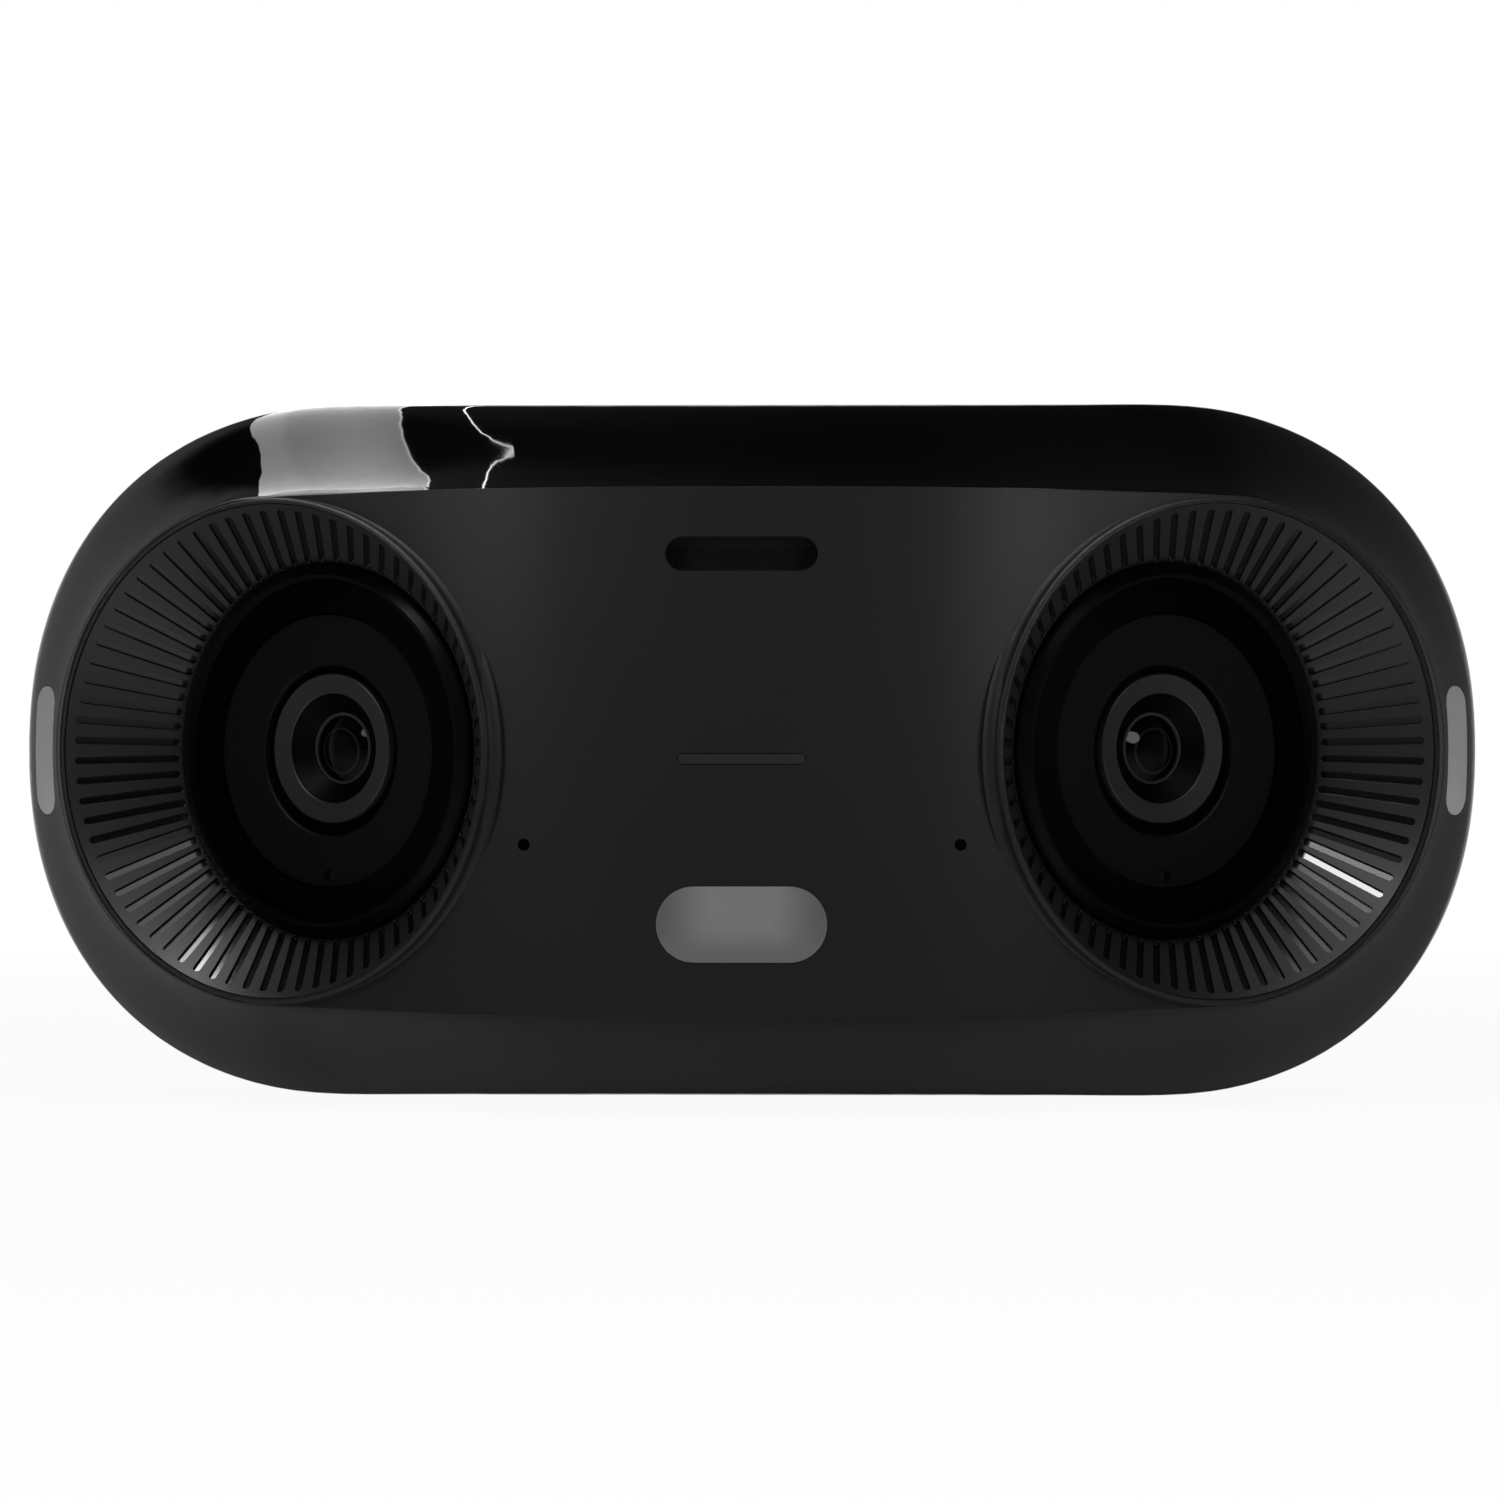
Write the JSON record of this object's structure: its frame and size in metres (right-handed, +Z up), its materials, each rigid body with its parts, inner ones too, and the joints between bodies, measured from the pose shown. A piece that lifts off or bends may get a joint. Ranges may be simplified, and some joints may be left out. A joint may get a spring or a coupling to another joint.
{
  "type": "security camera",
  "caption": "Wide black panoramic security camera: outward-looking lens modules in slotted funnels, matte front panel, motion sensor windows, rear service door and mounting thread.",
  "frame": {"origin": "mouth of the mounting thread in the middle of the flat rear face", "axes": "+X to the right seen from the front, +Y out of the rear face, +Z up; the lenses look towards -Y and outwards"},
  "size_m": [0.2002, 0.0645, 0.0956],
  "materials": {
    "panel_black": "fine matte texture",
    "shell_black": "high gloss",
    "cover_black": "fine matte texture",
    "door_black": "fine matte texture",
    "funnel_black": "semi gloss",
    "rim_black": "semi gloss",
    "dish_black": "semi gloss",
    "satin_plate": "satin",
    "lens_ring_grey": "satin",
    "retainer_grey": "satin",
    "barrel_black": "matte",
    "lens_glass": "coated",
    "filter_glass": "coated",
    "sensor_window": "satin",
    "status_lens": "semi gloss",
    "clear_plastic": "clear",
    "mesh_black": "woven mesh",
    "circuit_board": "solder mask",
    "chip_black": "matte",
    "frame_plastic": "matte",
    "speaker_black": "matte",
    "sensor_metal": "plain",
    "spreader_aluminium": "plain",
    "cell_wrap": "plastic sleeve",
    "insert_brass": "machined",
    "screw_black": "black coated",
    "screw_steel": "plain",
    "socket_steel": "plain",
    "seal_rubber": "matte",
    "button_grey": "satin"
  },
  "bodies": {
    "camera": {"antennas": "circuit_board", "battery_cells": "cell_wrap", "battery_holder": "frame_plastic", "board_screws": "screw_steel", "card_socket": "socket_steel", "case_screws": "screw_black", "charging_socket": "socket_steel", "door_pin": "screw_steel", "end_sensor_left": "sensor_metal", "end_sensor_right": "sensor_metal", "end_window_left": "sensor_window", "end_window_right": "sensor_window", "eye_dish_left": "dish_black", "eye_dish_right": "dish_black", "eye_plate_left": "satin_plate", "eye_plate_right": "satin_plate", "front_panel": "panel_black", "front_sensor": "sensor_metal", "front_window": "sensor_window", "funnel_left": "funnel_black", "funnel_right": "funnel_black", "heat_spreader": "spreader_aluminium", "image_sensor_left": "chip_black", "image_sensor_right": "chip_black", "lens_barrel_left": "barrel_black", "lens_barrel_right": "barrel_black", "lens_element_left": "lens_glass", "lens_element_right": "lens_glass", "lens_holder_left": "barrel_black", "lens_holder_right": "barrel_black", "lens_retainer_left": "retainer_grey", "lens_retainer_right": "retainer_grey", "lens_ring_left": "lens_ring_grey", "lens_ring_right": "lens_ring_grey", "light_pipes": "clear_plastic", "main_board": "circuit_board", "main_shell": "shell_black", "microphones": "seal_rubber", "mid_frame": "frame_plastic", "port_board": "circuit_board", "rear_cover": "cover_black", "rim_ring_left": "rim_black", "rim_ring_right": "rim_black", "seam_gasket": "seal_rubber", "sensor_board_left": "circuit_board", "sensor_board_right": "circuit_board", "sensor_screws": "screw_steel", "service_tray": "cover_black", "sound_mesh": "mesh_black", "speaker": "speaker_black", "status_light": "status_lens", "thread_insert": "insert_brass"},
    "filter_changer_right": {"filter_frame_right": "frame_plastic", "filter_panes_right": "filter_glass"},
    "filter_changer_left": {"filter_frame_left": "frame_plastic", "filter_panes_left": "filter_glass"},
    "door": {"service_door": "door_black", "door_seal": "seal_rubber"},
    "button": {"reset_button": "button_grey"}
  },
  "joints": [
    {"name": "filter_slide_right", "type": "slide", "parent": "camera", "child": "filter_changer_right", "axis": [-0.8271, -0.5621, 0], "range_m": [0, 0.0067]},
    {"name": "filter_slide_left", "type": "slide", "parent": "camera", "child": "filter_changer_left", "axis": [0.8271, -0.5621, 0], "range_m": [0, 0.0067]},
    {"name": "service_door_hinge", "type": "hinge", "parent": "camera", "child": "door", "pos_m": [0, -0.001, -0.033], "axis": [-1, 0, 0], "range_deg": [0, 95]},
    {"name": "reset_button_press", "type": "slide", "parent": "camera", "child": "button", "axis": [0, -1, 0], "range_m": [0, 0.00035], "stiffness_N_per_m": 600, "springref_m": -0.0005}
  ]
}
